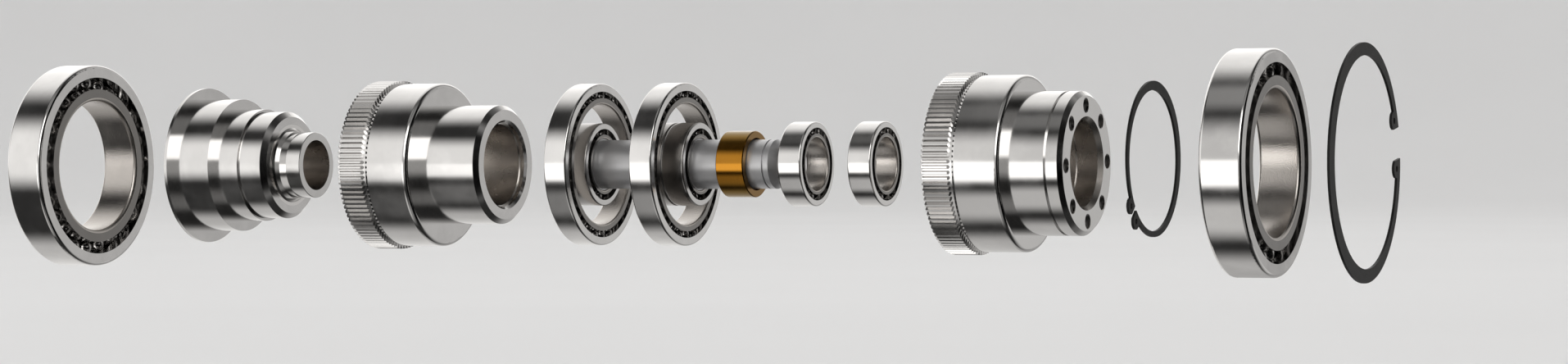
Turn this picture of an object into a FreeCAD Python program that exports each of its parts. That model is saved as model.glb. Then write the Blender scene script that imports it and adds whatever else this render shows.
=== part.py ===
import FreeCAD, Part
import os
import re
import sys
import Sketcher

# Two external gears, an input sleeve, a shaft, a bronze spacer, nine ball bearings and
# two retaining rings on one axis, drawn apart along it. Lengths in mm, angles in degrees.
# +X runs along the axis toward the output face and +Z is up. The origin is the centre
# of the output face of the second gear.

V = FreeCAD.Vector
doc = FreeCAD.newDocument("strain_wave_gear")
sheet = doc.addObject("Spreadsheet::Sheet", "dims")

# driving sizes
SIZES = {
    # big bearings, 40 x 62 x 12
    "big_id": 40.0, "big_section": 11.0, "big_wide": 12.0, "big_ball": 5.6, "big_count": 24,
    "big_wall_in": 3.65, "big_wall_out": 3.75, "big_round": 1.0,
    "big_cage_wall": 1.7, "big_cage_wide": 6.2,
    # thin bearings, 35 x 47 x 7; their bore follows the hub of the fixed gear
    "thin_section": 6.0, "thin_wide": 7.0, "thin_ball": 3.3, "thin_count": 30,
    "thin_wall_in": 1.8, "thin_wall_out": 2.3, "thin_round": 0.5,
    "thin_cage_wall": 1.0, "thin_cage_wide": 3.8,
    # small bearings, 15 x 24 x 7
    "small_id": 15.0, "small_section": 4.5, "small_wide": 7.0, "small_ball": 2.8, "small_count": 15,
    "small_wall_in": 1.15, "small_wall_out": 1.65, "small_round": 0.45,
    "small_cage_wall": 0.8, "small_cage_wide": 3.4,
    # running clearance of a ball in its race and in its cage pocket, and a push fit; the cage
    # reaches past the middle of the balls by a share of their diameter
    "race_gap": 0.05, "pocket_gap": 0.12, "seat_gap": 0.02, "cage_reach": 0.2,
    # teeth
    "fixed_teeth": 100, "output_teeth": 102, "relief_wide": 1.0, "relief_bevel": 0.7,
    "body_step": 0.22, "tooth_edge": 0.2,
    # half widths of a tooth space at its floor and past the tips, in modules
    "space_floor": 0.3, "space_mouth": 1.28,
    # input sleeve
    "sleeve_flange_high": 3.45, "sleeve_flange_wide": 0.95, "sleeve_seat_spare": 0.3,
    "sleeve_step_one": 3.1, "sleeve_mid_long": 8.35, "sleeve_step_two": 0.8,
    "sleeve_nose_long": 9.0, "sleeve_nose_bevel": 1.5, "sleeve_neck_wide": 0.5,
    "sleeve_neck_deep": 0.5, "sleeve_tube_long": 8.45, "sleeve_tube_wall": 2.3,
    "sleeve_ring_high": 1.8, "sleeve_ring_deep": 0.9, "sleeve_pocket_wall": 5.0,
    "sleeve_pocket_long": 10.0, "sleeve_edge": 0.15,
    # fixed gear
    "fixed_face": 7.8, "fixed_body_long": 13.85, "fixed_hub_long": 19.9, "fixed_hub_wall": 5.48,
    "fixed_rim": 2.4, "fixed_web": 5.0, "fixed_stop_high": 1.5, "fixed_stop_wide": 2.6,
    "fixed_bevel": 1.35, "fixed_round": 1.3, "fixed_mouth": 1.15, "fixed_mouth_long": 1.5,
    "fixed_step_high": 0.45, "fixed_step_long": 2.2,
    # output gear
    "output_face": 7.75, "output_body_long": 13.65, "output_hub_long": 16.6, "output_rim": 0.86,
    "output_web": 4.3, "output_stop_high": 1.5, "output_stop_wide": 2.8, "output_bevel": 1.25,
    "output_round": 1.2, "output_mouth": 0.98, "output_mouth_long": 1.4,
    "bore_groove_deep": 0.5, "bore_groove_wide": 0.8, "bore_groove_back": 7.0,
    "snap_groove_deep": 0.9, "snap_groove_wide": 0.8, "snap_groove_back": 4.83,
    "bolt_count": 8, "bolt_wide": 4.0, "bolt_sink": 4.3, "bolt_deep": 9.0, "bolt_point": 0.9,
    "bolt_turn": 2.1,
    # shaft and bronze spacer
    "shaft_relief": 0.45, "shaft_bevel": 0.5, "shaft_overhang": 1.5,
    "shaft_centre": 1.5, "shaft_centre_deep": 2.6,
    "shaft_seat_short": 0.4, "shaft_slot_deep": 0.5, "shaft_slot_wide": 0.5,
    "shaft_slot_back": 5.9, "shaft_nose_long": 4.4, "shaft_nose_drop": 0.85,
    "spacer_gap": 0.05, "spacer_wall": 1.95, "spacer_long": 8.6, "spacer_edge": 0.25,
    # external retaining ring
    "outer_clip_bite": 0.7, "outer_clip_band": 2.1, "outer_clip_taper": 0.7,
    "outer_clip_thick": 0.7, "outer_clip_lug": 2.25, "outer_clip_lug_out": 2.3,
    "outer_clip_lug_turn": 7.9, "outer_clip_hole": 1.6, "outer_clip_gap": 1.6,
    "outer_clip_turn": 222, "outer_clip_shift": 1.1,
    # internal retaining ring
    "inner_clip_bite": 1.2, "inner_clip_band": 3.6, "inner_clip_taper": 1.0,
    "inner_clip_thick": 0.7, "inner_clip_lug": 2.55, "inner_clip_lug_in": 3.2,
    "inner_clip_lug_turn": 13.3, "inner_clip_hole": 1.8, "inner_clip_gap": 8.6,
    "inner_clip_turn": 10,
    # free lengths between the pieces along the axis
    "space_big_left": 39.8, "space_sleeve": 22.65, "space_fixed": 25.35, "lag_thin_1": 0.6,
    "space_small_1": 17.2, "space_pair": 0.05, "lag_thin_2": 4.4, "space_small_3": 9.15,
    "space_spacer": 12.1, "space_shaft": 1.0, "space_small_4": 14.6, "space_small_5": 21.1,
    "space_outer_clip": 18.55, "space_big_right": 23.6, "space_inner_clip": 23.9,
    # run-out of the cutting pieces past the metal they cut
    "overcut": 1.0,
}

# sizes and places that follow from the driving ones
FOLLOWS = {
    "big_od": "big_id + 2 * big_section",
    "small_od": "small_id + 2 * small_section",
    "hub_bore": "small_od + 2 * seat_gap",
    "thin_id": "hub_bore + 2 * fixed_hub_wall",
    "thin_od": "thin_id + 2 * thin_section",
    "output_cup": "thin_od + 2 * seat_gap",
    "output_root": "output_cup + 2 * output_rim",
    "module": "output_root / (output_teeth - 2.5)",
    "output_tip": "module * (output_teeth + 2)",
    "fixed_root": "module * (fixed_teeth - 2.5)",
    "fixed_tip": "module * (fixed_teeth + 2)",
    "fixed_cup": "fixed_root - 2 * fixed_rim",
    "fixed_hub": "thin_id - 2 * seat_gap",
    "output_hub": "big_id - 2 * seat_gap",
    "fixed_shoulder": "fixed_face + relief_wide + fixed_body_long",
    "fixed_long": "fixed_shoulder + fixed_hub_long",
    "output_shoulder": "output_face + relief_wide + output_body_long",
    "output_long": "output_shoulder + output_hub_long",
    "bolt_circle": "(hub_bore + output_hub) / 2",
    "sleeve_seat": "big_id - 2 * seat_gap",
    "sleeve_mid": "sleeve_seat - 2 * sleeve_step_one",
    "sleeve_nose": "sleeve_mid - 2 * sleeve_step_two",
    "sleeve_bore": "small_id + 2 * spacer_gap",
    "sleeve_tube": "sleeve_bore + 2 * sleeve_tube_wall",
    "sleeve_x1": "sleeve_flange_wide + big_wide + sleeve_seat_spare",
    "sleeve_x2": "sleeve_x1 + sleeve_mid_long",
    "sleeve_x3": "sleeve_x2 + sleeve_nose_long",
    "sleeve_long": "sleeve_x3 + sleeve_tube_long",
    "shaft_body": "small_id - 2 * shaft_relief",
    "shaft_seat": "small_id - 2 * seat_gap",
    "outer_clip_eye": "big_id / 2 - outer_clip_bite",
    "inner_clip_rim": "big_od / 2 + inner_clip_bite",
    "at_output": "0 - output_long",
    "at_small_5": "at_output - space_small_5 - small_wide",
    "at_small_4": "at_small_5 - space_small_4 - small_wide",
    "at_spacer": "at_small_4 - space_spacer - spacer_long",
    "at_small_3": "at_spacer - space_small_3 - small_wide",
    "at_small_2": "at_small_3 - space_pair - small_wide",
    "at_thin_2": "at_small_3 + small_wide - lag_thin_2 - thin_wide",
    "at_small_1": "at_small_2 - space_small_1 - small_wide",
    "at_thin_1": "at_small_1 + small_wide - lag_thin_1 - thin_wide",
    "at_shaft": "at_small_1 - shaft_overhang",
    "shaft_long": "at_small_4 - space_shaft - at_shaft",
    "at_fixed": "at_thin_1 - space_fixed - fixed_long",
    "at_sleeve": "at_fixed - space_sleeve - sleeve_long",
    "at_big_left": "at_sleeve - space_big_left - big_wide",
    "at_outer_clip": "space_outer_clip",
    "at_big_right": "at_outer_clip + outer_clip_thick + space_big_right",
    "at_inner_clip": "at_big_right + big_wide + space_inner_clip",
}

for row, (alias, value) in enumerate(SIZES.items(), 1):
    sheet.set("A%d" % row, alias)
    sheet.set("B%d" % row, str(value))
    sheet.setAlias("B%d" % row, alias)
doc.recompute()


def formula(text):
    """Spell a size out in cells of the sheet."""
    def spell(found):
        word = found.group(0)
        if word in SIZES:
            return "dims." + word
        if word in FOLLOWS:
            return "(" + formula(FOLLOWS[word]) + ")"
        return word
    return re.sub(r"[A-Za-z_][A-Za-z_0-9]*", spell, text)


def number(text):
    return float(sheet.evalExpression(formula(text)))


def bind(obj, prop, text):
    obj.setExpression(prop, formula(text))


def plane_of(body, role):
    for feature in body.Origin.OriginFeatures:
        if feature.Role == role:
            return feature
    raise ValueError(role)


def sketch_on(body, name, role):
    sketch = body.newObject("Sketcher::SketchObject", name)
    sketch.AttachmentSupport = [(plane_of(body, role), "")]
    sketch.MapMode = "FlatFace"
    return sketch


def hold(sketch, kind, geo, point, text):
    """Bind one coordinate of a point to a size; a zero lies on the sketch axis."""
    value = number(text)
    if abs(value) < 1e-9:
        axis = -2 if kind == "DistanceX" else -1
        sketch.addConstraint(Sketcher.Constraint("PointOnObject", geo, point, axis))
        return
    index = sketch.addConstraint(Sketcher.Constraint(kind, -1, 1, geo, point, value))
    sketch.renameConstraint(index, "size_%d" % index)
    bind(sketch, "Constraints.size_%d" % index, text)


def outline(sketch, corners):
    """A closed outline of straight edges through corners given as sizes."""
    places = [V(number(x), number(y), 0) for x, y in corners]
    count = len(places)
    for i in range(count):
        sketch.addGeometry(Part.LineSegment(places[i], places[(i + 1) % count]), False)
    for i in range(count):
        sketch.addConstraint(Sketcher.Constraint("Coincident", i, 2, (i + 1) % count, 1))
    for i, (x, y) in enumerate(corners):
        hold(sketch, "DistanceX", i, 1, x)
        hold(sketch, "DistanceY", i, 1, y)


def circle(sketch, x, y, radius):
    sketch.addGeometry(Part.Circle(V(number(x), number(y), 0), V(0, 0, 1), number(radius)), False)
    hold(sketch, "DistanceX", 0, 3, x)
    hold(sketch, "DistanceY", 0, 3, y)
    index = sketch.addConstraint(Sketcher.Constraint("Radius", 0, number(radius)))
    sketch.renameConstraint(index, "radius")
    bind(sketch, "Constraints.radius", radius)


def turn(body, kind, name, sketch, axis):
    feature = body.newObject("PartDesign::" + kind, name)
    feature.Profile = sketch
    feature.ReferenceAxis = axis
    feature.Angle = 360
    doc.recompute()
    return feature


def turned_body(name, corners, place):
    """A body turned about X from an outline of (along the axis, radius)."""
    body = doc.addObject("PartDesign::Body", name)
    body.Label = name
    sketch = sketch_on(body, name + "_profile", "XZ_Plane")
    outline(sketch, corners)
    turn(body, "Revolution", name + "_turned", sketch, (plane_of(body, "X_Axis"), [""]))
    bind(body, "Placement.Base.x", place)
    return body


def round_edges(body, rings, radius):
    """Fillet the circular edges at (along the axis, radius)."""
    base = body.Tip
    wanted = [(number(x), number(r)) for x, r in rings]
    names = []
    for i, edge in enumerate(base.Shape.Edges, 1):
        if edge.Curve.TypeId != "Part::GeomCircle":
            continue
        for x, r in wanted:
            if abs(edge.Curve.Radius - r) < 1e-4 and abs(edge.Curve.Center.x - x) < 1e-4:
                names.append("Edge%d" % i)
    fillet = body.newObject("PartDesign::Fillet", body.Name + "_rounded")
    fillet.Base = (base, names)
    bind(fillet, "Radius", radius)
    doc.recompute()


def repeat(body, feature, count):
    """Repeat a cut round the axis and check that it takes material away."""
    before = body.Shape.Volume
    pattern = body.newObject("PartDesign::PolarPattern", feature.Name + "_all")
    pattern.Originals = [feature]
    pattern.Axis = (plane_of(body, "X_Axis"), [""])
    pattern.Angle = 360
    bind(pattern, "Occurrences", count)
    body.Tip = pattern
    doc.recompute()
    if not body.Shape.Volume < before:
        raise RuntimeError(pattern.Name + " cuts nothing")


def pocket(body, name, sketch, depth, reverse):
    before = body.Shape.Volume
    cut = body.newObject("PartDesign::Pocket", name)
    cut.Profile = sketch
    bind(cut, "Length", depth)
    cut.Reversed = reverse
    doc.recompute()
    if not body.Shape.Volume < before:
        raise RuntimeError(name + " cuts nothing")
    return cut


nodes = []


def bearing_ring(name, kind, inner, outer, seat, place):
    """One ring with a ball race, rounded at the edges of the face that seats."""
    wide = kind + "_wide"
    corners = [("0", inner), (wide, inner), (wide, outer), ("0", outer)]
    body = turned_body(name, corners, place)
    race = sketch_on(body, name + "_race_circle", "XZ_Plane")
    circle(race, wide + " / 2", "(" + kind + "_id + " + kind + "_section) / 2",
           kind + "_ball / 2 + race_gap")
    turn(body, "Groove", name + "_race", race, (plane_of(body, "X_Axis"), [""]))
    round_edges(body, [("0", seat), (wide, seat)], kind + "_round")
    nodes.append(body)


def bearing_balls(name, kind, place):
    balls = []
    for i in range(SIZES[kind + "_count"]):
        ball = doc.addObject("Part::Sphere", "%s_%d" % (name, i + 1))
        bind(ball, "Radius", kind + "_ball / 2")
        bind(ball, "Placement.Base.x", kind + "_wide / 2")
        radius = "(" + kind + "_id + " + kind + "_section) / 2"
        bind(ball, "Placement.Base.y", "%s * sin(%d * 360deg / %s_count)" % (radius, i, kind))
        bind(ball, "Placement.Base.z", "%s * cos(%d * 360deg / %s_count)" % (radius, i, kind))
        balls.append(ball)
    group = doc.addObject("Part::Compound", name)
    group.Label = name
    group.Links = balls
    bind(group, "Placement.Base.x", place)
    nodes.append(group)


def bearing_cage(name, kind, place):
    """A crown cage: a ring whose pockets are open toward +X."""
    middle = "(" + kind + "_id + " + kind + "_section) / 2"
    inner = middle + " - " + kind + "_cage_wall / 2"
    outer = middle + " + " + kind + "_cage_wall / 2"
    mouth = kind + "_wide / 2 + " + kind + "_ball * cage_reach"
    back = mouth + " - " + kind + "_cage_wide"
    body = turned_body(name, [(back, inner), (mouth, inner), (mouth, outer), (back, outer)], place)
    sketch = sketch_on(body, name + "_pocket_circle", "XY_Plane")
    circle(sketch, kind + "_wide / 2", "0", kind + "_ball / 2 + pocket_gap")
    cut = pocket(body, name + "_pocket", sketch, outer + " + overcut", True)
    repeat(body, cut, kind + "_count")
    nodes.append(body)


def bearing(name, kind, place):
    outer_seat = kind + "_id / 2 + " + kind + "_section"
    inner_seat = kind + "_id / 2"
    lip_out = outer_seat + " - " + kind + "_wall_out"
    lip_in = inner_seat + " + " + kind + "_wall_in"
    bearing_ring(name + "_outer", kind, lip_out, outer_seat, outer_seat, place)
    bearing_ring(name + "_inner", kind, inner_seat, lip_in, inner_seat, place)
    bearing_balls(name + "_balls", kind, place)
    bearing_cage(name + "_cage", kind, place)


def cut_teeth(body, side):
    """One tooth space as a tapered slot along the face width, then all of them."""
    root = side + "_root / 2"
    over = side + "_tip / 2 + tooth_edge"
    root_half = "module * space_floor"
    over_half = "module * space_mouth"
    sketch = sketch_on(body, body.Name + "_space", "YZ_Plane")
    outline(sketch, [("0 - " + root_half, root), (root_half, root),
                     (over_half, over), ("0 - " + over_half, over)])
    space = pocket(body, body.Name + "_tooth_space", sketch, side + "_face", True)
    repeat(body, space, side + "_teeth")


def gear_body(side, place, hub_cuts, bore_cuts):
    """A gear cup: toothed rim, relief groove, plain body, hub and a bore with a stop."""
    s = side + "_"
    tip, root = s + "tip / 2", s + "root / 2"
    body_radius = root + " + body_step"
    after_face = s + "face + relief_wide"
    body_start = after_face + " + relief_bevel"
    hub = s + "hub / 2"
    bore = "hub_bore / 2"
    stop = bore + " - " + s + "stop_high"
    cup_floor = s + "shoulder - " + s + "web"
    stop_face = cup_floor + " + " + s + "stop_wide"
    corners = [
        ("0", s + "cup / 2"), ("0", tip + " - tooth_edge"), ("tooth_edge", tip), (s + "face", tip),
        (s + "face", root), (after_face, root), (body_start, body_radius),
        (s + "shoulder", body_radius), (s + "shoulder", hub)]
    corners += hub_cuts
    corners += [
        (s + "long - " + s + "bevel", hub), (s + "long", hub + " - " + s + "bevel"),
        (s + "long", bore + " + " + s + "mouth")]
    corners += bore_cuts
    corners += [
        (stop_face, bore), (stop_face, stop), (cup_floor, stop), (cup_floor, s + "cup / 2")]
    body = turned_body(side + "_gear", corners, place)
    round_edges(body, [(s + "shoulder", body_radius)], s + "round")
    cut_teeth(body, side)
    return body


def fixed_gear():
    bore = "hub_bore / 2"
    step = bore + " + fixed_step_high"
    step_end = "fixed_long - fixed_step_long"
    bore_cuts = [("fixed_long - fixed_mouth_long", step), (step_end, step), (step_end, bore)]
    nodes.append(gear_body("fixed", "at_fixed", [], bore_cuts))


def output_gear():
    hub = "output_hub / 2"
    floor = hub + " - snap_groove_deep"
    front = "output_long - snap_groove_back + snap_groove_wide / 2"
    back = "output_long - snap_groove_back - snap_groove_wide / 2"
    groove = [(back, hub), (back, floor), (front, floor), (front, hub)]
    bore = "hub_bore / 2"
    bore_floor = bore + " + bore_groove_deep"
    near = "output_long - bore_groove_back"
    far = near + " - bore_groove_wide"
    bore_cuts = [("output_long - output_mouth_long", bore), (near, bore), (near, bore_floor),
                 (far, bore_floor), (far, bore)]
    body = gear_body("output", "at_output", groove, bore_cuts)
    # blind holes on a circle in the output face, countersunk, with a drill point
    centre = "bolt_circle / 2"
    wall = centre + " + bolt_wide / 2"
    sink = centre + " + bolt_sink / 2"
    floor_x = "output_long - bolt_deep"
    sketch = sketch_on(body, "bolt_hole_profile", "XZ_Plane")
    corners = [
        (floor_x + " - bolt_point", centre), (floor_x, wall),
        ("output_long - (bolt_sink - bolt_wide) / 2", wall), ("output_long", sink),
        ("output_long + tooth_edge", sink), ("output_long + tooth_edge", centre)]
    outline(sketch, corners)
    hole = turn(body, "Groove", "bolt_hole", sketch, (sketch, ["Edge%d" % len(corners)]))
    repeat(body, hole, "bolt_count")
    body.Placement.Rotation = FreeCAD.Rotation(V(1, 0, 0), SIZES["bolt_turn"])
    bind(body, "Placement.Rotation.Angle", "bolt_turn * 1deg")
    nodes.append(body)


def input_sleeve():
    seat, mid, nose = "sleeve_seat / 2", "sleeve_mid / 2", "sleeve_nose / 2"
    tube, bore = "sleeve_tube / 2", "sleeve_bore / 2"
    flange = seat + " + sleeve_flange_high"
    pocket_radius = seat + " - sleeve_pocket_wall"
    neck = nose + " - sleeve_neck_deep"
    ring_floor = "sleeve_x3 - sleeve_ring_deep"
    ring = tube + " + sleeve_ring_high"
    nodes.append(turned_body("input_sleeve", [
        ("0", pocket_radius), ("0", flange), ("sleeve_flange_wide", flange),
        ("sleeve_flange_wide", seat), ("sleeve_x1", seat), ("sleeve_x1", mid),
        ("sleeve_x2", mid), ("sleeve_x2", neck), ("sleeve_x2 + sleeve_neck_wide", neck),
        ("sleeve_x2 + sleeve_neck_wide", nose), ("sleeve_x3 - sleeve_nose_bevel", nose),
        ("sleeve_x3", nose + " - sleeve_nose_bevel"), ("sleeve_x3", ring),
        (ring_floor, ring), (ring_floor, tube), ("sleeve_long - sleeve_edge", tube),
        ("sleeve_long", tube + " - sleeve_edge"), ("sleeve_long", bore),
        ("sleeve_pocket_long", bore), ("sleeve_pocket_long", pocket_radius)], "at_sleeve"))


def shaft():
    body, seat = "shaft_body / 2", "shaft_seat / 2"
    first_end = "at_small_1 + small_wide - shaft_seat_short - at_shaft"
    pair_start = "at_small_2 + shaft_seat_short - at_shaft"
    pair_end = "at_small_3 + small_wide - shaft_seat_short - at_shaft"
    slot = "shaft_long - shaft_slot_back - shaft_slot_wide"
    slot_floor = body + " - shaft_slot_deep"
    nodes.append(turned_body("shaft", [
        ("shaft_centre_deep", "0"), ("0", "shaft_centre"), ("0", seat + " - shaft_bevel"),
        ("shaft_bevel", seat),
        (first_end, seat), (first_end, body), (pair_start, body), (pair_start, seat),
        (pair_end, seat), (pair_end, body), (slot, body), (slot, slot_floor),
        (slot + " + shaft_slot_wide", slot_floor), (slot + " + shaft_slot_wide", body),
        ("shaft_long - shaft_nose_long", body), ("shaft_long", body + " - shaft_nose_drop"),
        ("shaft_long", "shaft_centre"),
        ("shaft_long - shaft_centre_deep", "0")], "at_shaft"))


def bronze_spacer():
    inner = "small_id / 2 + spacer_gap"
    outer = inner + " + spacer_wall"
    nodes.append(turned_body("bronze_spacer", [
        ("0", inner), ("0", outer + " - spacer_edge"), ("spacer_edge", outer),
        ("spacer_long - spacer_edge", outer), ("spacer_long", outer + " - spacer_edge"),
        ("spacer_long", inner)], "at_spacer"))


def disc(name, radius, start, thick, out, angle):
    """A disc across the axis, its centre at a radius and an angle from +Y toward +Z."""
    piece = doc.addObject("Part::Cylinder", name)
    bind(piece, "Radius", radius)
    bind(piece, "Height", thick)
    piece.Placement.Rotation = FreeCAD.Rotation(V(0, 1, 0), 90)
    bind(piece, "Placement.Base.x", start)
    bind(piece, "Placement.Base.y", "(%s) * cos((%s) * 1deg)" % (out, angle))
    bind(piece, "Placement.Base.z", "(%s) * sin((%s) * 1deg)" % (out, angle))
    return piece


def boolean(kind, name, base, tools):
    piece = doc.addObject("Part::" + kind, name)
    if kind == "MultiFuse":
        piece.Shapes = [base] + tools
    else:
        piece.Base = base
        piece.Tool = tools[0]
    return piece


def retaining_ring(name, side, rim, rim_out, eye, eye_out, lug_out, place):
    """A flat open ring, narrower toward the gap, with a holed lug on each side of it."""
    c = side + "_clip_"
    thick, angle = c + "thick", c + "turn"
    through = thick + " + 2 * overcut"
    band = boolean("Cut", name + "_band",
                   disc(name + "_rim", rim, "0", thick, rim_out, angle),
                   [disc(name + "_eye", eye, "0 - overcut", through, eye_out, angle)])
    lugs = []
    holes = []
    for tag, sign in (("upper", " + "), ("lower", " - ")):
        at = angle + sign + c + "lug_turn"
        lugs.append(disc(name + "_lug_" + tag, c + "lug", "0", thick, lug_out, at))
        hole = disc(name + "_hole_" + tag, c + "hole / 2", "0 - overcut", through, lug_out, at)
        holes.append(hole)
    gap = doc.addObject("Part::Box", name + "_gap")
    bind(gap, "Length", through)
    bind(gap, "Width", rim + " + " + c + "lug")
    bind(gap, "Height", c + "gap")
    gap.Placement.Rotation = FreeCAD.Rotation(V(1, 0, 0), SIZES[angle])
    bind(gap, "Placement.Rotation.Angle", angle + " * 1deg")
    bind(gap, "Placement.Base.x", "0 - overcut")
    bind(gap, "Placement.Base.y", c + "gap / 2 * sin(" + angle + " * 1deg)")
    bind(gap, "Placement.Base.z", "0 - " + c + "gap / 2 * cos(" + angle + " * 1deg)")
    whole = boolean("MultiFuse", name + "_whole", band, lugs)
    cuts = boolean("MultiFuse", name + "_cuts", gap, holes)
    ring = boolean("Cut", name, whole, [cuts])
    ring.Label = name
    bind(ring, "Placement.Base.x", place)
    nodes.append(ring)


bearing("big_left", "big", "at_big_left")
input_sleeve()
fixed_gear()
bearing("thin_1", "thin", "at_thin_1")
bearing("small_1", "small", "at_small_1")
bearing("thin_2", "thin", "at_thin_2")
bearing("small_2", "small", "at_small_2")
bearing("small_3", "small", "at_small_3")
shaft()
bronze_spacer()
bearing("small_4", "small", "at_small_4")
bearing("small_5", "small", "at_small_5")
output_gear()
# the band is narrowest beside the gap: the rim of the one ring and the eye of the other
# are set off the axis for that
retaining_ring("clip_external", "outer", "outer_clip_eye + outer_clip_band",
               "0 - outer_clip_shift - outer_clip_taper", "outer_clip_eye",
               "0 - outer_clip_shift",
               "outer_clip_eye + outer_clip_lug_out - outer_clip_shift", "at_outer_clip")
bearing("big_right", "big", "at_big_right")
retaining_ring("clip_internal", "inner", "inner_clip_rim", "0",
               "inner_clip_rim - inner_clip_band", "inner_clip_taper",
               "inner_clip_rim - inner_clip_lug_in", "at_inner_clip")
doc.recompute()

faults = [obj.Name for obj in doc.Objects if "Invalid" in obj.State or "Error" in obj.State]
for obj in nodes:
    if obj.Shape.isNull() or not obj.Shape.isValid() or not obj.Shape.Solids:
        faults.append(obj.Name)
if faults:
    print("not built: " + ", ".join(faults))
    sys.exit(1)

os.makedirs("parts", exist_ok=True)
for obj in nodes:
    obj.Shape.exportStep("parts/" + obj.Label + ".step")
print("%d nodes, gear module %.3f, total length %.1f"
      % (len(nodes), number("module"), number("at_inner_clip + inner_clip_thick - at_big_left")))
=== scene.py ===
import math

import bmesh
import bpy
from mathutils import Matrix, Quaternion, Vector


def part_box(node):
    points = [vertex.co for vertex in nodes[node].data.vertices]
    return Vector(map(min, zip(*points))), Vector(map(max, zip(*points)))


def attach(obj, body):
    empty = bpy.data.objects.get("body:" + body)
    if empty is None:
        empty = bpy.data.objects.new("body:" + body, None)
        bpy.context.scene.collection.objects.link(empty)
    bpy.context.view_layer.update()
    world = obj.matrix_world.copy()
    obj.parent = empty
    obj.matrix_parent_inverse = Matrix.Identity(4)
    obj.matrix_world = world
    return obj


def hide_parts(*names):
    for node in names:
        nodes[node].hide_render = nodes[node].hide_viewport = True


# Polished steel gears, bearings, a sleeve, a shaft, a bronze spacer and two dark
# retaining rings on one axis. Lengths in metres, angles in degrees.

MM = 0.001
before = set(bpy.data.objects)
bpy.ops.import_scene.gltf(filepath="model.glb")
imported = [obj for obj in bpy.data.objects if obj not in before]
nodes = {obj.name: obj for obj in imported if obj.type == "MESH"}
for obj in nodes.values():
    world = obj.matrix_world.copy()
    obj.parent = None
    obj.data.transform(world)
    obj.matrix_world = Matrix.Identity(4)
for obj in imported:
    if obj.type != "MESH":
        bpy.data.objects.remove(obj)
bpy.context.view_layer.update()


# shader nodes

class Shader:
    """The node tree of a material or a world, with short ways to add and join its nodes."""

    def __init__(self, tree):
        self.tree = tree

    def add(self, kind, **settings):
        node = self.tree.nodes.new(kind)
        for key, value in settings.items():
            setattr(node, key, value)
        return node

    def put(self, value, socket):
        if isinstance(value, bpy.types.NodeSocket):
            self.tree.links.new(value, socket)
        else:
            socket.default_value = value

    def math(self, operation, first, second=0.0):
        node = self.add("ShaderNodeMath", operation=operation)
        for socket, value in zip(node.inputs, (first, second)):
            self.put(value, socket)
        return node.outputs[0]

    def span(self, value, low, high, to_low=0.0, to_high=1.0):
        node = self.add("ShaderNodeMapRange", interpolation_type="SMOOTHSTEP")
        for name, item in (("Value", value), ("From Min", low), ("From Max", high),
                           ("To Min", to_low), ("To Max", to_high)):
            self.put(item, node.inputs[name])
        return node.outputs["Result"]

    def mix(self, share, first, second, kind="RGBA"):
        node = self.add("ShaderNodeMix", data_type=kind)
        self.put(share, node.inputs["Factor"])
        self.put(first, node.inputs["A"])
        self.put(second, node.inputs["B"])
        return node.outputs["Result"]

    def noise(self, place, scale, detail=2.0, roughness=0.5):
        node = self.add("ShaderNodeTexNoise")
        self.put(place, node.inputs["Vector"])
        node.inputs["Scale"].default_value = scale
        node.inputs["Detail"].default_value = detail
        node.inputs["Roughness"].default_value = roughness
        return node.outputs["Fac"]


def grey(value, warmth=0.0):
    return (value * (1 + warmth), value, value * (1 - warmth), 1.0)


def piece_of(name, bm, material):
    """A mesh object of what was built, with one material."""
    mesh = bpy.data.meshes.new(name)
    bm.to_mesh(mesh)
    bm.free()
    mesh.materials.append(material)
    piece = bpy.data.objects.new(name, mesh)
    bpy.context.scene.collection.objects.link(piece)
    return piece


# finishes: scales of their patterns per metre, spans over which a pattern counts, and the
# strength and depth of the relief that it gives

BORE_LIMIT = -0.5 * MM
FACE_SHARE = 0.85
# span of the normal's upright share over which the painted shade on upper and lower flanks comes in
PAINTED_SHADE_SPAN = (0.35, 0.95)
RING_SCALE = 3800.0
GRAIN_SCALE = 2600.0
STAIN_SCALE = 90.0
STAIN_SPAN = (0.35, 0.7)
STAIN_SHADE = (0.94, 1.03)
STAIN_ROUGH = (-0.02, 0.04)
RELIEF = 0.22
RELIEF_DEPTH = 0.012 * MM
COAT_FINE = 5200.0
COAT_BROAD = 260.0
COAT_SPAN = (0.3, 0.7)
COAT_ROUGH = (0.2, 0.8, 0.36, 0.52)
COAT_METAL = 0.12
COAT_GLOSS = 0.12
COAT_RELIEF = 0.3
COAT_DEPTH = 0.02 * MM


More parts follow.
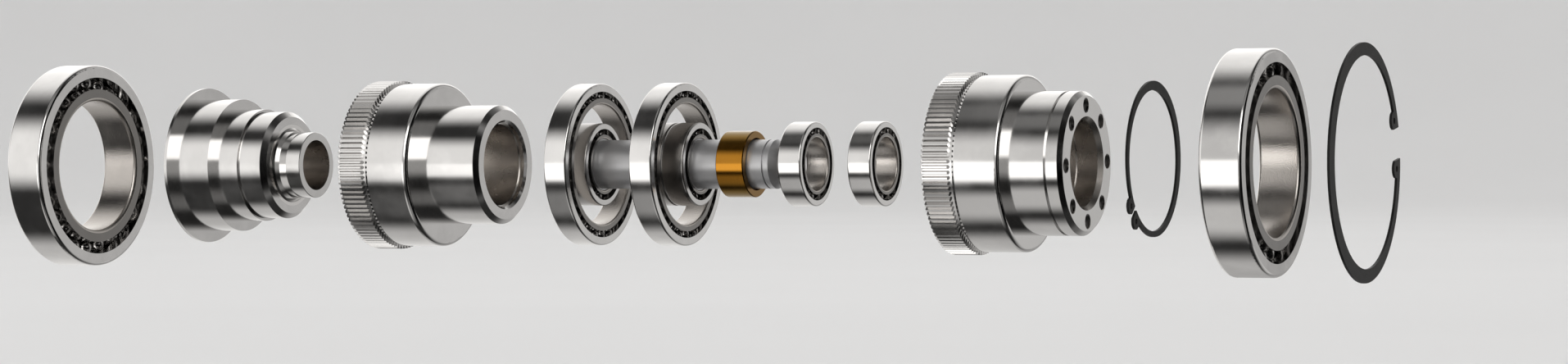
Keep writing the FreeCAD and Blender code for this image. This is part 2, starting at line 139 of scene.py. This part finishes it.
def turned_metal(name, colour, roughness, lines=0.25, bore_colour=None, bore_roughness=None,
                 face_colour=None, painted_shade_colour=None, bore_grain=1.2):
    """Metal turned about the X axis: fine rings on every face, a grainy bore, soft stains."""
    material = bpy.data.materials.new(name)
    material.use_nodes = True
    s = Shader(material.node_tree)
    s.tree.nodes.clear()
    output = s.add("ShaderNodeOutputMaterial")
    bsdf = s.add("ShaderNodeBsdfPrincipled")
    bsdf.inputs["Metallic"].default_value = 1.0
    s.put(bsdf.outputs[0], output.inputs["Surface"])

    where = s.add("ShaderNodeTexCoord")
    place = s.add("ShaderNodeSeparateXYZ")
    s.put(where.outputs["Object"], place.inputs[0])
    along, side, up = place.outputs
    radius = s.math("SQRT", s.math("ADD", s.math("MULTIPLY", side, side), s.math("MULTIPLY", up, up)))
    normal = s.add("ShaderNodeSeparateXYZ")
    s.put(where.outputs["Normal"], normal.inputs[0])
    outward = s.math("ADD", s.math("MULTIPLY", side, normal.outputs[1]),
                     s.math("MULTIPLY", up, normal.outputs[2]))
    in_bore = s.math("LESS_THAN", outward, BORE_LIMIT)
    on_face = s.math("GREATER_THAN", s.math("ABSOLUTE", normal.outputs[0]), FACE_SHARE)

    # the tool's rings depend on the place along the axis and on the radius alone
    rings = s.add("ShaderNodeCombineXYZ")
    s.put(along, rings.inputs[0])
    s.put(radius, rings.inputs[1])
    marks = s.noise(rings.outputs[0], RING_SCALE, 3.0)
    grain = s.noise(where.outputs["Object"], GRAIN_SCALE, 2.0, 0.7)
    stains = s.noise(where.outputs["Object"], STAIN_SCALE, 4.0, 0.6)

    base = colour
    # painted shade: the upper and lower flanks, by the way their normals face, take a darker colour
    if painted_shade_colour:
        painted_shade_share = s.span(s.math("ABSOLUTE", normal.outputs[2]), *PAINTED_SHADE_SPAN)
        base = s.mix(painted_shade_share, base, painted_shade_colour)
    if face_colour:
        base = s.mix(on_face, base, face_colour)
    if bore_colour:
        base = s.mix(in_bore, base, bore_colour)
    shade = s.span(stains, *STAIN_SPAN, *STAIN_SHADE)
    tint = s.add("ShaderNodeMix", data_type="RGBA", blend_type="MULTIPLY")
    tint.inputs["Factor"].default_value = 1.0
    s.put(base, tint.inputs["A"])
    s.put(shade, tint.inputs["B"])
    s.put(tint.outputs["Result"], bsdf.inputs["Base Color"])

    rough = s.math("ADD", roughness, s.span(stains, *STAIN_SPAN, *STAIN_ROUGH))
    if bore_roughness:
        rough = s.math("ADD", rough, s.math("MULTIPLY", in_bore, bore_roughness - roughness))
    s.put(rough, bsdf.inputs["Roughness"])

    height = s.math("ADD", s.math("MULTIPLY", marks, lines),
                    s.math("MULTIPLY", s.math("MULTIPLY", grain, in_bore), bore_grain))
    bump = s.add("ShaderNodeBump")
    bump.inputs["Strength"].default_value = RELIEF
    bump.inputs["Distance"].default_value = RELIEF_DEPTH
    s.put(height, bump.inputs["Height"])
    s.put(bump.outputs[0], bsdf.inputs["Normal"])
    return material


def shaded_ball_steel():
    # chrome balls, given a darker colour than bare chrome as painted shade for their place deep
    # between the rings
    return turned_metal("ball_chrome", grey(0.42, 0.02), 0.12, lines=0.0)


def polished_steel():
    return turned_metal("polished_steel", grey(0.70, 0.012), 0.13, lines=0.5,
                        bore_colour=grey(0.52, 0.06), bore_roughness=0.26,
                        face_colour=grey(0.62, 0.01))


def outer_race_steel():
    return turned_metal("outer_race_steel", grey(0.74, 0.012), 0.12, lines=0.35,
                        face_colour=grey(0.66, 0.01))


def painted_shade_race_steel():
    # painted shade: a darker copy of the outer race steel, for outer rings that sit inside the thin
    # bearings' bores
    return turned_metal("painted_shade_race_steel", grey(0.34, 0.03), 0.20, lines=0.35,
                        face_colour=grey(0.66, 0.01))


def inner_race_steel():
    return turned_metal("inner_race_steel", grey(0.60, 0.02), 0.16, lines=0.35,
                        bore_colour=grey(0.47, 0.06), bore_roughness=0.21,
                        face_colour=grey(0.225, 0.04), bore_grain=15.0)


def shaft_steel():
    return turned_metal("shaft_steel", grey(0.46, -0.006), 0.31, lines=1.4)


def cage_steel():
    return turned_metal("cage_steel", grey(0.055, 0.06), 0.40, lines=0.6)


def bronze():
    # the last colour is painted shade, darker and more olive on the upper and lower flanks
    return turned_metal("bronze", (0.42, 0.185, 0.022, 1.0), 0.15, lines=2.4,
                        face_colour=(0.24, 0.13, 0.030, 1.0), painted_shade_colour=(0.21, 0.13, 0.028, 1.0))


def thread_steel():
    return turned_metal("thread_steel", grey(0.30, 0.02), 0.30, lines=0.5)


def phosphate():
    """Black phosphated spring steel: a thin dark coat, dull, with a fine grain."""
    material = bpy.data.materials.new("phosphate")
    material.use_nodes = True
    s = Shader(material.node_tree)
    bsdf = s.tree.nodes["Principled BSDF"]
    where = s.add("ShaderNodeTexCoord")
    fine = s.noise(where.outputs["Object"], COAT_FINE, 3.0, 0.7)
    broad = s.noise(where.outputs["Object"], COAT_BROAD, 3.0, 0.6)
    colour = s.mix(s.span(broad, *COAT_SPAN), grey(0.009, 0.02), grey(0.016, 0.02))
    s.put(colour, bsdf.inputs["Base Color"])
    bsdf.inputs["Metallic"].default_value = COAT_METAL
    bsdf.inputs["Specular IOR Level"].default_value = COAT_GLOSS
    s.put(s.span(fine, *COAT_ROUGH), bsdf.inputs["Roughness"])
    bump = s.add("ShaderNodeBump")
    bump.inputs["Strength"].default_value = COAT_RELIEF
    bump.inputs["Distance"].default_value = COAT_DEPTH
    s.put(fine, bump.inputs["Height"])
    s.put(bump.outputs[0], bsdf.inputs["Normal"])
    return material


def dress():
    """Give each node of the frame its finish, by its whole name or the end of it."""
    finishes = {
        "_balls": shaded_ball_steel(), "_cage": cage_steel(), "_outer": outer_race_steel(),
        "_inner": inner_race_steel(), "_gear": polished_steel(), "shaft": shaft_steel(),
        "bronze_spacer": bronze(),
    }
    shaded_race = painted_shade_race_steel()
    # the outer rings of small bearings 1 to 3 take the darker race steel, painted shade
    for i in (1, 2, 3):
        finishes["small_%d_outer" % i] = shaded_race
    finishes["input_sleeve"] = finishes["_gear"]
    finishes["clip_external"] = finishes["clip_internal"] = phosphate()
    for name, node in nodes.items():
        ending = name if name in finishes else next(end for end in finishes if name.endswith(end))
        node.data.materials.clear()
        node.data.materials.append(finishes[ending])


# turned details: the collar and flare at the root of the sleeve's tube, the chamfer in the
# mouth of the fixed gear's bore, and the shaft with the steep bevel of its right end

TUBE_LONG = 8.45 * MM
TUBE = 9.85 * MM
COLLAR = 11.25 * MM
COLLAR_BEVEL = 0.5 * MM
ROOT = TUBE + 0.85 * MM
ROOT_LONG = 1.7 * MM
FLARE = TUBE + 0.3 * MM
FLARE_LONG = 3.8 * MM
COLLAR_SEAT = 1.0 * MM
COLLAR_SUNK = 0.25 * MM
MOUTH = 13.17 * MM
MOUTH_BORE = 12.47 * MM
MOUTH_CHAMFER = 0.7 * MM
MOUTH_DEEP = 1.5 * MM
MOUTH_SUNK = 0.1 * MM
MOUTH_BACK = MOUTH + 0.23 * MM
MOUTH_BACK_BORE = MOUTH_BORE + 0.13 * MM
SKIN = 0.01 * MM
SHAFT_SEAT = 7.48 * MM
SHAFT_BODY = 7.05 * MM
SHAFT_EDGE = 0.5 * MM
SHAFT_SEAT_SHORT = 0.4 * MM
SHAFT_SLOT = 0.5 * MM
SHAFT_SLOT_BACK = 3.6 * MM
SHAFT_BEVEL = 2.1 * MM
SHAFT_SPACE = 3.3 * MM
CENTRE_HOLE = 1.5 * MM
CENTRE_DEEP = 2.6 * MM
TURN_STEPS = 192
SHARP_DEGREES = 12
WELD = 0.001 * MM


def turned_piece(name, start, profile, body, slot="polished_steel", closed=True):
    """A profile of places along X from a start, and radii, turned about the axis. A ring's
    profile is closed. A bar's profile begins and ends on the axis."""
    bm = bmesh.new()
    corners = [bm.verts.new((start + x, 0.0, r)) for x, r in profile]
    ring = corners + corners[:1] if closed else corners
    edges = [bm.edges.new(pair) for pair in zip(ring, ring[1:])]
    bmesh.ops.spin(bm, geom=corners + edges, cent=(0, 0, 0), axis=(1, 0, 0), angle=math.tau,
                   steps=TURN_STEPS, use_duplicate=False)
    bmesh.ops.remove_doubles(bm, verts=bm.verts, dist=WELD)
    bmesh.ops.recalc_face_normals(bm, faces=bm.faces)
    piece = piece_of(name, bm, bpy.data.materials[slot])
    piece.data.shade_smooth()
    piece.data.set_sharp_from_angle(angle=math.radians(SHARP_DEGREES))
    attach(piece, body)
    return piece


def sleeve_collar():
    """A collar that fills the recess round the tube, and a flare that falls to the tube."""
    inside = TUBE - COLLAR_SUNK
    outside = COLLAR + COLLAR_SEAT
    turned_piece("input_sleeve_collar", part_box("input_sleeve")[1].x - TUBE_LONG, [
        (-COLLAR_SEAT, inside), (-COLLAR_SEAT, outside), (SKIN, outside), (SKIN, COLLAR),
        (COLLAR_BEVEL, ROOT), (ROOT_LONG, FLARE), (FLARE_LONG, TUBE), (FLARE_LONG, inside)], "input")


def gear_mouth():
    """A ring between the bore's long flat chamfer and the short steep one that shows."""
    turned_piece("fixed_gear_mouth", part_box("fixed_gear")[1].x, [
        (-SKIN, MOUTH - SKIN), (-MOUTH_CHAMFER, MOUTH_BORE), (-MOUTH_DEEP, MOUTH_BORE - SKIN),
        (-MOUTH_DEEP - MOUTH_SUNK, MOUTH_BACK_BORE), (-MOUTH_SUNK, MOUTH_BACK)], "fixed")


def turned_shaft():
    """The shaft with its two seats, its ring groove, its centre holes and its steep end bevel."""
    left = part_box("shaft")[0].x
    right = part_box("small_4_inner")[0].x - SHAFT_SPACE
    first_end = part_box("small_1_inner")[1].x - SHAFT_SEAT_SHORT
    pair_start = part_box("small_2_inner")[0].x + SHAFT_SEAT_SHORT
    pair_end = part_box("small_3_inner")[1].x - SHAFT_SEAT_SHORT
    slot_end = right - SHAFT_SLOT_BACK
    slot_floor = SHAFT_BODY - SHAFT_SLOT
    shaft = turned_piece("shaft_turned", 0.0, [
        (left + CENTRE_DEEP, 0.0), (left, CENTRE_HOLE), (left, SHAFT_SEAT - SHAFT_EDGE),
        (left + SHAFT_EDGE, SHAFT_SEAT), (first_end, SHAFT_SEAT), (first_end, SHAFT_BODY),
        (pair_start, SHAFT_BODY), (pair_start, SHAFT_SEAT), (pair_end, SHAFT_SEAT),
        (pair_end, SHAFT_BODY), (slot_end - SHAFT_SLOT, SHAFT_BODY),
        (slot_end - SHAFT_SLOT, slot_floor), (slot_end, slot_floor), (slot_end, SHAFT_BODY),
        (right - SHAFT_BEVEL, SHAFT_BODY), (right, SHAFT_BODY - SHAFT_BEVEL),
        (right, CENTRE_HOLE), (right - CENTRE_DEEP, 0.0)], "input", "shaft_steel", closed=False)
    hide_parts("shaft")


# threads in the eight holes of the output face

BOLTS = 8
BOLT_CIRCLE = 32.0 * MM
BOLT_WALL = 2.0 * MM
BOLT_TURN = 2.1
BOLT_TURNS = 11
BOLT_PITCH = 0.7 * MM
BOLT_SINK = 0.3 * MM
RIDGE = 0.36 * MM
RIDGE_FOOT = 0.45
STEPS = 40


def thread_ridge(bm, centre_y, centre_z, front):
    """A helical ridge of triangular section that stands in from a hole's wall."""
    section = ((BOLT_WALL, RIDGE_FOOT), (BOLT_WALL - RIDGE, 0.0), (BOLT_WALL, -RIDGE_FOOT))
    rows = []
    for i in range(BOLT_TURNS * STEPS + 1):
        angle = math.tau * i / STEPS
        x = front - BOLT_SINK - BOLT_PITCH * i / STEPS
        row = []
        for radius, shift in section:
            row.append(bm.verts.new((x + shift * BOLT_PITCH, centre_y + radius * math.cos(angle),
                                     centre_z + radius * math.sin(angle))))
        rows.append(row)
    for a, b in zip(rows, rows[1:]):
        bm.faces.new((a[0], a[1], b[1], b[0]))
        bm.faces.new((a[1], a[2], b[2], b[1]))


def threads():
    """The ridges of all the holes as one piece, set in from the end face."""
    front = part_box("output_gear")[1].x
    bm = bmesh.new()
    for i in range(BOLTS):
        angle = math.tau * i / BOLTS - math.radians(BOLT_TURN)
        thread_ridge(bm, BOLT_CIRCLE / 2 * math.sin(angle), BOLT_CIRCLE / 2 * math.cos(angle), front)
    bmesh.ops.recalc_face_normals(bm, faces=bm.faces)
    ridge = piece_of("output_gear_threads", bm, thread_steel())
    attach(ridge, "output")


# studio

FLOOR_DROP = 0.12
FLOOR_RADIUS = 9.0
WALL_BEND = 3.0
WALL_HEIGHT = 7.0
BEND_STEPS = 12
ROUND_STEPS = 96
FLOOR_WELD = 0.1 * MM
FLOOR_SHADES = (0.78, 0.82)
FLOOR_WARMTH = 0.004
FLOOR_ROUGH = 0.9
CLOUD_SCALE = 1.2
CEILING_SIZE = 22.0
CEILING_POWER = 1200.0
CEILING_HIGH = 8.0


def pale_floor():
    material = bpy.data.materials.new("pale_floor")
    material.use_nodes = True
    s = Shader(material.node_tree)
    bsdf = s.tree.nodes["Principled BSDF"]
    where = s.add("ShaderNodeTexCoord")
    cloud = s.noise(where.outputs["Object"], CLOUD_SCALE, 2.0)
    dark, light = (grey(shade, FLOOR_WARMTH) for shade in FLOOR_SHADES)
    s.put(s.mix(cloud, dark, light), bsdf.inputs["Base Color"])
    bsdf.inputs["Roughness"].default_value = FLOOR_ROUGH
    return material


def cyclorama():
    """A pale floor that bends up into a wall all round."""
    bm = bmesh.new()
    profile = [(0.0, 0.0), (FLOOR_RADIUS, 0.0)]
    for i in range(1, BEND_STEPS + 1):
        angle = math.radians(90) * i / BEND_STEPS
        profile.append((FLOOR_RADIUS + WALL_BEND * math.sin(angle), WALL_BEND * (1 - math.cos(angle))))
    profile.append((FLOOR_RADIUS + WALL_BEND, WALL_HEIGHT + WALL_BEND))
    edge = [bm.verts.new((r, 0.0, h)) for r, h in profile]
    edges = [bm.edges.new(pair) for pair in zip(edge, edge[1:])]
    bmesh.ops.spin(bm, geom=edge + edges, cent=(0, 0, 0), axis=(0, 0, 1), angle=math.tau,
                   steps=ROUND_STEPS, use_duplicate=False)
    bmesh.ops.remove_doubles(bm, verts=bm.verts, dist=FLOOR_WELD)
    for face in bm.faces:
        face.smooth = True
    floor = piece_of("studio_floor", bm, pale_floor())
    floor.location = (0.0, 0.0, -FLOOR_DROP)
    # the metal mirrors the soft boxes below and not the floor
    floor.visible_glossy = False
    floor.visible_shadow = False


# Soft boxes that run along the axis, placed where the metal in the photograph shows bright and
# dark bands. Angles go round the axis, from the camera's side at 0 to
# straight up at 90 and behind the object at 180. A box fades in between the first two angles and
# out between the next two. Its edges drift by some degrees from the left end to the right end,
# where the light comes less from the left. The last four numbers are a share along X with the
# brightness there, and a second share with its brightness. NONE stands for an edge that isn't there.
NONE = 999
FILL = ((-32, -6), (34, 64), (0, -11.5), (-0.45, 1.03, -0.31, 0.62))
STRIP = ((-28, -18), (-1, 8), (0, 0), (-0.54, 0.0, -0.475, 1.9))
LEFT_BOXES = (
    ((70, 108), (NONE, NONE), (13, 0), (-0.6, 1.0, -0.3, 0.97)),
    ((100, 150), (NONE, NONE), (14, 0), (-0.6, 0.42, -0.3, 0.38)),
    ((-90, -66), (-47, -31), (0, 0), (-0.54, 0.0, -0.36, 0.62)),
    ((-NONE, -NONE), (-110, -80), (0, -13), (-0.6, 0.56, -0.3, 0.50)),
    ((-NONE, -NONE), (-165, -115), (0, 0), (-0.41, 0.25, -0.33, -0.10)),
    ((48, 66), (76, 92), (0, 0), (-0.46, 0.0, -0.30, 0.28)),
)
RIGHT_STRIP = ((6, 15), (50, 58), (0, 0), (0.58, 3.0, 0.64, 0.3))
RIGHT_FILL = ((-30, -8), (50, 58), (0, 0), (0.58, 0.58, 0.64, 0.1))
RIGHT_BOXES = (
    ((44, 52), (84, 104), (0, 0), (0.3, 0.27, 0.6, 0.25)),
    ((114, 158), (NONE, NONE), (0, 0), (0.34, 0.72, 0.58, 0.55)),
    ((-NONE, -NONE), (-166, -122), (0, 0), (0.34, 0.72, 0.58, 0.55)),
    ((-94, -74), (-66, -42), (0, 0), (0.34, 0.36, 0.52, 0.20)),
)
DARK = 0.03
WARMTH = (1.0, 0.985, 0.965, 1.0)
DRIFT_SPAN = (-0.60, -0.37)
SIDES_SPAN = (-0.16, 0.22)
RIGHT_END_WEAKER = (0.30, 0.37, 0.55, 1.0)
FAR_END_DARK = (0.66, 0.76, 1.0, 0.03)


def soft_boxes():
    """The studio's lights as a world round the object."""
    world = bpy.data.worlds.new("studio")
    bpy.context.scene.world = world
    world.use_nodes = True
    s = Shader(world.node_tree)
    s.tree.nodes.clear()
    where = s.add("ShaderNodeTexCoord")
    way = s.add("ShaderNodeSeparateXYZ")
    s.put(where.outputs["Generated"], way.inputs[0])
    along = way.outputs[0]
    toward_camera = s.math("MULTIPLY", way.outputs[1], -1.0)
    turn = s.math("MULTIPLY", s.math("ARCTAN2", way.outputs[2], toward_camera), 180 / math.pi)
    share = s.span(along, *DRIFT_SPAN)

    def box(fade_in, fade_out, drift, level):
        light = s.span(along, level[0], level[2], level[1], level[3])
        if abs(fade_in[0]) < NONE:
            place = s.math("SUBTRACT", turn, s.math("MULTIPLY", share, drift[0]))
            light = s.math("MULTIPLY", light, s.span(place, *fade_in))
        if abs(fade_out[0]) < NONE:
            place = s.math("SUBTRACT", turn, s.math("MULTIPLY", share, drift[1]))
            light = s.math("MULTIPLY", light, s.span(place, *fade_out, 1.0, 0.0))
        return light

    def side(strip, fill, boxes):
        total = s.math("MAXIMUM", box(*strip), box(*fill))
        for item in boxes:
            total = s.math("ADD", total, box(*item))
        return s.math("ADD", total, DARK)

    left = side(STRIP, FILL, LEFT_BOXES)
    right = side(RIGHT_STRIP, RIGHT_FILL, RIGHT_BOXES)
    # the end faces on the right look where the light is weaker
    right = s.math("MULTIPLY", right, s.span(along, *RIGHT_END_WEAKER))
    # what looks far along +X is dark
    far = s.span(along, *FAR_END_DARK)
    both = s.mix(s.span(along, *SIDES_SPAN), left, right, kind="FLOAT")
    whole = s.math("MULTIPLY", both, far)
    light = s.add("ShaderNodeBackground")
    s.put(WARMTH, light.inputs["Color"])
    s.put(whole, light.inputs["Strength"])
    output = s.add("ShaderNodeOutputWorld")
    s.put(light.outputs[0], output.inputs["Surface"])
    # the floor is lit by the ceiling alone
    world.cycles_visibility.diffuse = False


def floor_light():
    """One wide soft light from above that the metal doesn't mirror."""
    data = bpy.data.lights.new("ceiling", "AREA")
    data.shape = "DISK"
    data.size = CEILING_SIZE
    data.energy = CEILING_POWER
    lamp = bpy.data.objects.new("ceiling", data)
    lamp.location = (0.0, 0.0, CEILING_HIGH)
    lamp.visible_glossy = False
    lamp.visible_camera = False
    bpy.context.scene.collection.objects.link(lamp)


# camera, fitted to the circles of the pieces in a frame 1914 pixels wide

FRAME_WIDE = 1914
FOCAL_PIXELS = 4900.0
AXIS_RISE_PIXELS = 21.85
AZIMUTH = 25.1
ROLL = 0.12
LOOK_AT_X = -92.15 * MM
DISTANCE = 1144.9 * MM
SENSOR = 36.0
CLIP_NEAR = 0.01
CLIP_FAR = 60.0


def camera():
    data = bpy.data.cameras.new("camera")
    data.sensor_width = SENSOR
    data.lens = SENSOR * FOCAL_PIXELS / FRAME_WIDE
    data.shift_y = -AXIS_RISE_PIXELS / FRAME_WIDE
    data.clip_start = CLIP_NEAR
    data.clip_end = CLIP_FAR
    look = bpy.data.objects.new("camera", data)
    turn = math.radians(AZIMUTH)
    away = Vector((math.sin(turn), -math.cos(turn), 0.0))
    look.location = Vector((LOOK_AT_X, 0.0, 0.0)) + away * DISTANCE
    look.rotation_mode = "QUATERNION"
    level = (-away).to_track_quat("-Z", "Y")
    look.rotation_quaternion = level @ Quaternion((0.0, 0.0, 1.0), math.radians(-ROLL))
    bpy.context.scene.collection.objects.link(look)
    bpy.context.scene.camera = look
    bpy.context.scene.view_settings.view_transform = "Standard"


dress()
sleeve_collar()
gear_mouth()
turned_shaft()
threads()
cyclorama()
soft_boxes()
floor_light()
camera()
